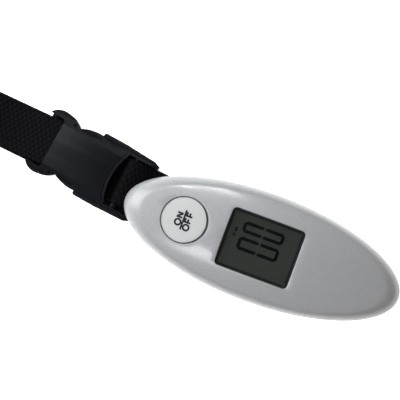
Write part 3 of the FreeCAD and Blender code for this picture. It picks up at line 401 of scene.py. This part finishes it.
def worn_finish(name, low, high, rough, grain_scale, grain_depth, specular=0.5):
    """A finish with slow colour drift, patchy roughness and a fine surface grain."""
    material, nodes, links, shader = new_material(name)
    place = object_coordinates(nodes)
    drift = noise(nodes, links, place, DRIFT_SCALE, 4.0)
    links.new(two_colours(nodes, links, drift, low, high), shader.inputs["Base Color"])
    smear = noise(nodes, links, place, SMEAR_SCALE, 5.0)
    links.new(spread(nodes, links, smear, *rough), shader.inputs["Roughness"])
    grain = noise(nodes, links, place, grain_scale, 2.0)
    links.new(bump(nodes, links, grain, grain_depth, GRAIN_STRENGTH), shader.inputs["Normal"])
    shader.inputs["Specular IOR Level"].default_value = specular
    return material


def metal_flake_paint(name, low, high, rough, coat):
    """Silver paint: bright flakes under a clear coat, with a faint orange-peel surface."""
    material, nodes, links, shader = new_material(name)
    place = object_coordinates(nodes)
    flakes = nodes.new("ShaderNodeTexVoronoi")
    flakes.inputs["Scale"].default_value = FLAKE_SCALE
    links.new(place, flakes.inputs["Vector"])
    tone = nodes.new("ShaderNodeSeparateColor")
    links.new(flakes.outputs["Color"], tone.inputs["Color"])
    links.new(two_colours(nodes, links, tone.outputs["Red"], low, high), shader.inputs["Base Color"])
    smear = noise(nodes, links, place, PAINT_SMEAR_SCALE, 5.0)
    links.new(spread(nodes, links, smear, *rough), shader.inputs["Roughness"])
    peel = noise(nodes, links, place, PEEL_SCALE, 2.0)
    links.new(bump(nodes, links, peel, PEEL_DEPTH, PEEL_STRENGTH), shader.inputs["Normal"])
    shader.inputs["Metallic"].default_value = FLAKE_METALLIC
    shader.inputs["Specular IOR Level"].default_value = FLAKE_SPECULAR
    shader.inputs["Coat Weight"].default_value = coat
    shader.inputs["Coat Roughness"].default_value = PAINT_COAT_ROUGHNESS
    return material


def clear_acrylic(name):
    """Clear sheet with faint smears."""
    material, nodes, links, shader = new_material(name)
    place = object_coordinates(nodes)
    smear = noise(nodes, links, place, CLEAR_SMEAR_SCALE, 5.0)
    links.new(spread(nodes, links, smear, *CLEAR_ROUGHNESS), shader.inputs["Roughness"])
    shader.inputs["Base Color"].default_value = (*CLEAR_TINT, 1)
    shader.inputs["Transmission Weight"].default_value = 1.0
    shader.inputs["Alpha"].default_value = CLEAR_ALPHA
    shader.inputs["IOR"].default_value = CLEAR_IOR
    return material


def woven_nylon(name, low, high):
    """Fine twisted threads on the webbing's ribs."""
    material, nodes, links, shader = new_material(name)
    place = object_coordinates(nodes)
    fuzz = noise(nodes, links, place, FIBRE_SCALE, 3.0, 0.7)
    links.new(two_colours(nodes, links, fuzz, low, high), shader.inputs["Base Color"])
    links.new(spread(nodes, links, fuzz, *FIBRE_ROUGHNESS), shader.inputs["Roughness"])
    turned = nodes.new("ShaderNodeMapping")
    turned.inputs["Rotation"].default_value = (0, 0, math.radians(STRAP_YAW_DEG))
    links.new(place, turned.inputs["Vector"])
    thread = nodes.new("ShaderNodeTexWave")
    thread.bands_direction = "DIAGONAL"
    thread.inputs["Scale"].default_value = THREAD_SCALE
    thread.inputs["Distortion"].default_value = THREAD_DISTORTION
    links.new(turned.outputs["Vector"], thread.inputs["Vector"])
    first = bump(nodes, links, thread.outputs["Fac"], THREAD_DEPTH, THREAD_STRENGTH)
    links.new(bump(nodes, links, fuzz, FIBRE_DEPTH, GRAIN_STRENGTH, first), shader.inputs["Normal"])
    shader.inputs["Specular IOR Level"].default_value = FIBRE_SPECULAR
    return material


def brushed_metal(name, colour, rough):
    """Bare or plated metal with fine lines along X."""
    material, nodes, links, shader = new_material(name)
    place = object_coordinates(nodes)
    stretched = nodes.new("ShaderNodeMapping")
    stretched.inputs["Scale"].default_value = BRUSH_STRETCH
    links.new(place, stretched.inputs["Vector"])
    lines = noise(nodes, links, stretched.outputs["Vector"], BRUSH_SCALE, 4.0)
    links.new(spread(nodes, links, lines, *rough), shader.inputs["Roughness"])
    tone = noise(nodes, links, place, TARNISH_SCALE, 3.0)
    dull = tuple(DULL_SHARE * c for c in colour)
    links.new(two_colours(nodes, links, tone, dull, colour), shader.inputs["Base Color"])
    links.new(bump(nodes, links, lines, BRUSH_DEPTH, BRUSH_STRENGTH), shader.inputs["Normal"])
    shader.inputs["Metallic"].default_value = 1.0
    return material


def casing_materials():
    """The casing's covers, window, display, foam and button."""
    return {
        "casing_silver": metal_flake_paint(
            "casing_silver_paint", (0.240, 0.241, 0.242), (0.305, 0.306, 0.307), (0.42, 0.50), 0.45),
        "underside_silver": metal_flake_paint(
            "underside_silver_paint", (0.19, 0.192, 0.195), (0.24, 0.242, 0.245), (0.42, 0.52), 0.1),
        "window_clear": clear_acrylic("window_acrylic"),
        "lcd_glass": worn_finish(
            "lcd_cell", (0.026, 0.029, 0.025), (0.032, 0.035, 0.030), (0.30, 0.40),
            500.0, 0.000004, specular=0.15),
        # black foam inside the casing; the same dark material also paints the shade in the button's gap and
        # in the socket's ear holes
        "black_foam": worn_finish(
            "foam_and_painted_shade_black", (0.012, 0.012, 0.012), (0.03, 0.03, 0.03), (0.85, 0.95), 2500.0, 0.0001),
        "white_plastic": worn_finish(
            "plastic_white", (0.66, 0.66, 0.64), (0.72, 0.72, 0.70), (0.40, 0.52), 1500.0, MOULD_GRAIN),
        "button_white": worn_finish(
            "button_off_white", (0.38, 0.385, 0.375), (0.41, 0.415, 0.40), (0.38, 0.48), 1800.0, 0.00001),
    }


def circuit_materials():
    """The parts on and around the circuit board."""
    return {
        "silicone": worn_finish(
            "silicone_grey", (0.30, 0.30, 0.32), (0.36, 0.36, 0.38), (0.55, 0.7), 1200.0, MOULD_GRAIN),
        "board_green": worn_finish(
            "board_mask", (0.008, 0.075, 0.028), (0.012, 0.095, 0.035), (0.28, 0.42), 700.0, MOULD_GRAIN),
        "resin_black": worn_finish(
            "resin_cap", (0.010, 0.010, 0.011), (0.018, 0.018, 0.020), (0.2, 0.35), 400.0, MOULD_GRAIN),
        "switch_black": worn_finish(
            "switch_plastic", (0.014, 0.014, 0.014), (0.025, 0.025, 0.025), (0.4, 0.55),
            1500.0, MOULD_GRAIN),
    }


def metal_materials():
    """The battery's can, the contacts, the steel parts and the load beam."""
    return {
        "cell_steel": brushed_metal("cell_can", (0.60, 0.60, 0.59), (0.22, 0.38)),
        "contact_nickel": brushed_metal("nickel_plate", (0.66, 0.63, 0.57), (0.2, 0.34)),
        "steel_zinc": brushed_metal("zinc_plate", (0.58, 0.59, 0.60), (0.28, 0.45)),
        "beam_aluminium": brushed_metal("beam_metal", (0.72, 0.73, 0.74), (0.3, 0.5)),
    }


def sensor_materials():
    """The strain gauges' film and the sleeve of their leads."""
    return {
        "gauge_film": worn_finish(
            "gauge_polyimide", (0.42, 0.20, 0.03), (0.50, 0.26, 0.05), (0.3, 0.45), 900.0, MOULD_GRAIN),
        "wire_red": worn_finish(
            "wire_sleeve", (0.42, 0.02, 0.015), (0.50, 0.03, 0.02), (0.35, 0.5), 900.0, MOULD_GRAIN),
    }


def strap_materials():
    """The link, the buckle, the webbing and its sewing."""
    return {
        "link_chrome": brushed_metal("link_plating", (0.70, 0.71, 0.72), (0.10, 0.22)),
        "buckle_black": worn_finish(
            "buckle_acetal", (0.0035, 0.0037, 0.0050), (0.005, 0.0052, 0.0070), (0.32, 0.42),
            1600.0, MOULD_GRAIN, specular=0.08),
        "webbing_black": woven_nylon("webbing_nylon", (0.0006, 0.0006, 0.0010), (0.0022, 0.0022, 0.0032)),
        "thread_black": woven_nylon("sewing_thread", (0.006, 0.006, 0.007), (0.016, 0.016, 0.018)),
    }


def make_materials():
    """One material for each material slot of the record."""
    return {
        **casing_materials(),
        **circuit_materials(),
        **metal_materials(),
        **sensor_materials(),
        **strap_materials(),
    }


def soften_edges(names, width):
    """Rounds the sharp edges of moulded pieces."""
    for name in names:
        node = frame["nodes"][name]
        weld = node.modifiers.new("weld", "WELD")
        weld.merge_threshold = WELD_REACH * MM
        bevel = node.modifiers.new("round_edges", "BEVEL")
        bevel.width = width * MM
        bevel.segments = EDGE_SEGMENTS
        bevel.limit_method = "ANGLE"
        bevel.angle_limit = math.radians(EDGE_ANGLE_DEG)
        bevel.harden_normals = True


def dress_cad_nodes(materials):
    """Gives each CAD node the material of its slot."""
    for entry in frame["record"]["subparts"]:
        node = frame["nodes"][entry["node"]]
        node.data.materials.clear()
        node.data.materials.append(materials[entry["material_slot"]])


# -------------------------------------------------------------------- strap

def spline_points(name, route):
    """Points along the smooth NURBS curve that has the route as its control points."""
    curve = bpy.data.curves.new(name, "CURVE")
    curve.dimensions = "3D"
    spline = curve.splines.new("NURBS")
    spline.points.add(len(route) - 1)
    for point, place in zip(spline.points, route):
        point.co = (*place, 1)
    spline.order_u = 3
    spline.use_endpoint_u = True
    curve.resolution_u = CURVE_STEPS
    holder = bpy.data.objects.new(name, curve)
    bpy.context.scene.collection.objects.link(holder)
    bpy.context.view_layer.update()
    mesh = bpy.data.meshes.new_from_object(holder)
    points = [v.co.copy() for v in mesh.vertices]
    bpy.data.objects.remove(holder)
    return points


def even_points(points, step):
    """The same line, stepped evenly."""
    travelled = [0.0]
    for a, b in zip(points, points[1:]):
        travelled.append(travelled[-1] + (b - a).length)
    count = max(2, round(travelled[-1] / step))
    even = []
    k = 0
    for n in range(count + 1):
        target = travelled[-1] * n / count
        while k < len(points) - 2 and travelled[k + 1] < target:
            k += 1
        share = (target - travelled[k]) / max(travelled[k + 1] - travelled[k], 1e-12)
        even.append(points[k].lerp(points[k + 1], share))
    return even


def rib_height(across, along):
    """Relief of a plain weave, 0 to 1: rounded ribs, each with bumps half a pitch from its neighbours'."""
    rib = math.floor(across / RIB_WIDTH)
    in_rib = across / RIB_WIDTH - rib
    round_rib = math.sin(math.pi * in_rib) ** RIB_ROUNDNESS
    phase = 2 * math.pi * along / WEAVE_PITCH + math.pi * (rib % 2)
    over = (0.5 + 0.5 * math.cos(phase)) ** BUMP_ROUNDNESS
    return round_rib * (RIB_LOW_SHARE + (1 - RIB_LOW_SHARE) * over)


def webbing_profile(along):
    """Outline of the webbing's section at a place along it, as (across, height from its middle)."""
    rib_count = round(WEBBING_WIDTH / RIB_WIDTH)
    columns = rib_count * SAMPLES_PER_RIB
    half_width = WEBBING_WIDTH / 2
    core = WEBBING_THICKNESS / 2 - WEAVE_RELIEF
    last_rib = rib_count * RIB_WIDTH - INSIDE_RIB
    profile = []
    for face in (1, -1):
        shift = 0.0 if face > 0 else WEAVE_PITCH / 2
        for j in range(columns + 1):
            column = j if face > 0 else columns - j
            across = min(column / SAMPLES_PER_RIB * RIB_WIDTH, last_rib)
            w = -half_width + WEBBING_WIDTH * column / columns
            edge = 1 - abs(w) / half_width
            taper = min(1.0, math.sqrt(max(edge, 0.0) / SELVEDGE_SHARE))
            lift = core + WEAVE_RELIEF * rib_height(across, along + shift)
            profile.append((w, face * lift * taper))
    return profile


def make_webbing(name, points, along_start, material):
    """A woven band along the points, with relief on both faces and rounded selvedges."""
    side = (strap_point(0, 1, 0) - strap_point(0, 0, 0)).normalized()
    vertices = []
    along = along_start
    for k, here in enumerate(points):
        before = points[max(k - 1, 0)]
        after = points[min(k + 1, len(points) - 1)]
        normal = side.cross(after - before).normalized()
        if k:
            along += (here - points[k - 1]).length / MM
        ring = [here + side * (w * MM) + normal * (lift * MM) for w, lift in webbing_profile(along)]
        vertices += ring
    per_ring = len(ring)
    faces = []
    for k in range(len(points) - 1):
        for j in range(per_ring):
            a = k * per_ring + j
            b = k * per_ring + (j + 1) % per_ring
            faces.append((a, b, b + per_ring, a + per_ring))
    faces.append(tuple(range(per_ring - 1, -1, -1)))
    last = (len(points) - 1) * per_ring
    faces.append(tuple(range(last, last + per_ring)))
    return add_mesh(name, vertices, faces, material)


def make_long_strap(materials):
    """The long strap: its lap round the link, the under run, the far turn and the top run to the socket."""
    route = [under_run_point(s, z) for s, z in LINK_TURN + AFTER_LINK + FAR_JOIN]
    route += [top_run_point(s, z) for s, z in FAR_LOOP + SOCKET_TURN + TAIL]
    points = even_points(spline_points("long_strap_line", route), ROW_STEP * MM)
    turn = strap_point(LINK_REACH, 0, 0)
    low = LAP_END_Z * MM
    split = next(k for k, point in enumerate(points) if point.z < low and point.x < turn.x)
    lap_length = sum((b - a).length for a, b in zip(points[:split], points[1:split + 1])) / MM
    lap = make_webbing("strap_lap", points[:split + 1], 0.0, materials["webbing_black"])
    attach(lap, "strap")
    path = points[split:]
    strap = make_webbing("strap_long", path, lap_length, materials["webbing_black"])
    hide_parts("strap_under_run", "strap_top_run")
    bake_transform(strap)


def make_short_strap(materials):
    """The sewn loop between the link and the plug's bar."""
    route = [strap_point(s, 0, z) for s, z in SHORT_ROUTE]
    points = even_points(spline_points("short_strap_line", route), ROW_STEP * MM)
    short = make_webbing("strap_short", points, 0.0, materials["webbing_black"])
    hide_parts("strap_short_loop")
    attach(short, "strap")


# ------------------------------------------------------------ print on the button

def crown_z(x, y):
    """Height of the casing's crown over a place."""
    reach = math.hypot(x, y * HALF_LENGTH / HALF_WIDTH)
    return CROWN_TOP - CROWN_RADIUS + math.sqrt(CROWN_RADIUS ** 2 - reach ** 2)


class Ink:
    """Flat strokes laid on a curved face, each a thin raised strip."""

    def __init__(self, height_at, thickness):
        self.height_at = height_at
        self.thickness = thickness
        self.vertices = []
        self.faces = []

    def strip(self, left, right, closed=False):
        """A strip between two rows of (x, y) points."""
        base = len(self.vertices)
        count = len(left)
        for a, b in zip(left, right):
            for x, y in (a, b):
                z = self.height_at(x, y)
                self.vertices.append(Vector((x, y, z)) * MM)
                self.vertices.append(Vector((x, y, z + self.thickness)) * MM)
        for k in range(count if closed else count - 1):
            here = base + 4 * k
            there = base + 4 * ((k + 1) % count)
            self.faces.append((here + 1, here + 3, there + 3, there + 1))
            self.faces.append((here, there, there + 2, here + 2))
            self.faces.append((here, here + 1, there + 1, there))
            self.faces.append((here + 2, there + 2, there + 3, here + 3))
        if not closed:
            last = base + 4 * (count - 1)
            self.faces.append((base, base + 2, base + 3, base + 1))
            self.faces.append((last, last + 1, last + 3, last + 2))

    def line(self, start, end, width, steps=8):
        run = Vector(end) - Vector(start)
        side = Vector((-run.y, run.x)).normalized() * width / 2
        places = [Vector(start) + run * k / steps for k in range(steps + 1)]
        self.strip([tuple(p - side) for p in places], [tuple(p + side) for p in places])

    def ring(self, centre, radius, width, steps=48):
        inner = []
        outer = []
        for k in range(steps):
            angle = 2 * math.pi * k / steps
            for row, reach in ((inner, radius - width / 2), (outer, radius + width / 2)):
                row.append((centre[0] + reach * math.cos(angle), centre[1] + reach * math.sin(angle)))
        self.strip(inner, outer, closed=True)


def letter_o(ink, x, y):
    ink.ring((x, y), LETTER_HALF, PRINT_STROKE)


def letter_n(ink, x, y):
    ink.line((x + LETTER_HALF, y - N_HALF_WIDTH), (x - LETTER_HALF, y - N_HALF_WIDTH), PRINT_STROKE)
    ink.line((x - LETTER_HALF, y - N_HALF_WIDTH), (x + LETTER_HALF, y + N_HALF_WIDTH), PRINT_STROKE)
    ink.line((x + LETTER_HALF, y + N_HALF_WIDTH), (x - LETTER_HALF, y + N_HALF_WIDTH), PRINT_STROKE)


def letter_f(ink, x, y):
    ink.line((x + LETTER_HALF, y - F_STEM), (x - LETTER_HALF - PRINT_STROKE / 2, y - F_STEM), PRINT_STROKE)
    ink.line((x - LETTER_HALF, y - F_STEM), (x - LETTER_HALF, y + F_TOP_ARM), PRINT_STROKE)
    ink.line((x, y - F_STEM), (x, y + F_MIDDLE_ARM), PRINT_STROKE)


def make_button_print():
    """ON, a bar and OFF.  Letters stand with their tops toward -X, and read toward +Y."""
    ink = Ink(lambda x, y: crown_z(x, y) - BUTTON_SINK + PRINT_LIFT, PRINT_THICKNESS)
    letter_o(ink, ON_X, ON_PLACES[0])
    letter_n(ink, ON_X, ON_PLACES[1])
    ink.line((BAR_X, BAR_START_Y), (BAR_X, BAR_END_Y), PRINT_STROKE, steps=24)
    letter_o(ink, OFF_X, OFF_PLACES[0])
    letter_f(ink, OFF_X, OFF_PLACES[1])
    letter_f(ink, OFF_X, OFF_PLACES[2])
    material = worn_finish("print_black", (0.006, 0.006, 0.007), (0.012, 0.012, 0.014), (0.5, 0.6),
                           1500.0, 0.00001, specular=0.2)
    printed = add_mesh("button_print", ink.vertices, ink.faces, material, smooth=False)
    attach(printed, "button")


# ------------------------------------------------------------------ display digits

def segment(ink, start, end):
    """One bar of a digit, with pointed ends."""
    start = Vector(start)
    end = Vector(end)
    along = (end - start).normalized() * DIGIT_STROKE / 2
    side = Vector((-along.y, along.x))
    tip = side * SEGMENT_TIP
    left = [start - tip, start + along - side, end - along - side, end - tip]
    right = [start + tip, start + along + side, end - along + side, end + tip]
    ink.strip([tuple(p) for p in left], [tuple(p) for p in right])


def draw_nought(ink, left_y, right_y):
    """A nought of two short bars and four long ones, with its top toward -X."""
    middle_x = (DIGIT_TOP_X + DIGIT_BOTTOM_X) / 2
    for x in (DIGIT_TOP_X, DIGIT_BOTTOM_X):
        segment(ink, (x, left_y - DIGIT_GAP), (x, right_y + DIGIT_GAP))
    for y in (left_y, right_y):
        segment(ink, (DIGIT_TOP_X - DIGIT_GAP, y), (middle_x - DIGIT_GAP, y))
        segment(ink, (middle_x + DIGIT_GAP, y), (DIGIT_BOTTOM_X + DIGIT_GAP, y))


def draw_window_shade_border(ink):
    """Painted shade: a dark border along the window's four sides, standing in for the shade in the window's
    recess.
    """
    for side in (-1, 1):
        y = side * (WINDOW_HALF_WIDTH - WINDOW_SHADE_BORDER / 2)
        ink.line((WINDOW_START_X, y), (WINDOW_END_X, y), WINDOW_SHADE_BORDER)
    for x in (WINDOW_START_X + WINDOW_SHADE_BORDER / 2, WINDOW_END_X - WINDOW_SHADE_BORDER / 2):
        ink.line((x, -WINDOW_HALF_WIDTH), (x, WINDOW_HALF_WIDTH), WINDOW_SHADE_BORDER)


def make_display_print_and_shade_border():
    """Two digits and two small marks printed dark on the display, and a dark border of painted shade round
    the window.
    """
    ink = Ink(lambda x, y: LCD_TOP + INK_LIFT, INK_THICKNESS)
    for left_y, right_y in DIGIT_SIDES:
        draw_nought(ink, left_y, right_y)
    ink.line(BAR_MARK[0], BAR_MARK[1], BAR_MARK_WIDTH)
    ink.ring(RING_MARK, RING_MARK_RADIUS, RING_MARK_STROKE)
    draw_window_shade_border(ink)
    # one dark material for the printed digits and marks and for the painted shade border
    material = worn_finish("digit_print_and_border_shade", (0.001, 0.0015, 0.003), (0.0015, 0.002, 0.004), (0.5, 0.6),
                           900.0, 0.000005, specular=0.0)
    digits = add_mesh("display_print_and_shade_border", ink.vertices, ink.faces, material, smooth=False)
    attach(digits, "housing")


# --------------------------------------------------------------------- painted shade in the button's gap

def make_button_gap_shade(materials):
    """A thin dark ring in the gap around the button: painted shade that darkens the gap."""
    ink = Ink(lambda x, y: crown_z(x, y) - GAP_SHADE_DEPTH, GAP_SHADE_THICKNESS)
    ink.ring((BUTTON_X, 0.0), GAP_SHADE_RADIUS, GAP_SHADE_WIDTH, steps=96)
    gap_shade_ring = add_mesh("button_gap_shade_ring", ink.vertices, ink.faces, materials["black_foam"], smooth=False)
    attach(gap_shade_ring, "housing")


# ---------------------------------------------------------------- painted shade in the buckle's ear holes

def make_ear_hole_shade_discs(materials):
    """A dark disc at the bottom of the small round hole in each of the socket's ears: painted shade that
    makes each hole look dark.
    """
    ink = Ink(lambda x, y: EAR_SHADE_DISC_HEIGHT, EAR_SHADE_DISC_THICKNESS)
    for side in (-1, 1):
        place = buckle_point(EAR_HOLE_REACH, side * EAR_HOLE_SIDE, 0) / MM
        ink.ring((place.x, place.y), EAR_SHADE_DISC_RADIUS / 2, EAR_SHADE_DISC_RADIUS, steps=32)
    # painted shade: dark discs that darken the ear holes
    shade_discs = add_mesh("ear_hole_shade_discs", ink.vertices, ink.faces, materials["black_foam"], smooth=False)
    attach(shade_discs, "socket")


def main():
    make_camera()
    materials = make_materials()
    make_long_strap(materials)
    make_short_strap(materials)
    make_floor()
    make_light()
    dress_cad_nodes(materials)
    soften_edges(["buckle_socket", "buckle_plug", "prong_north", "prong_south"], BUCKLE_EDGE)
    soften_edges(["display_window"], WINDOW_EDGE)
    soften_edges(["top_cover"], CASING_EDGE)
    soften_edges(["power_button"], BUTTON_EDGE)
    make_button_print()
    make_display_print_and_shade_border()
    make_button_gap_shade(materials)
    make_ear_hole_shade_discs(materials)


main()
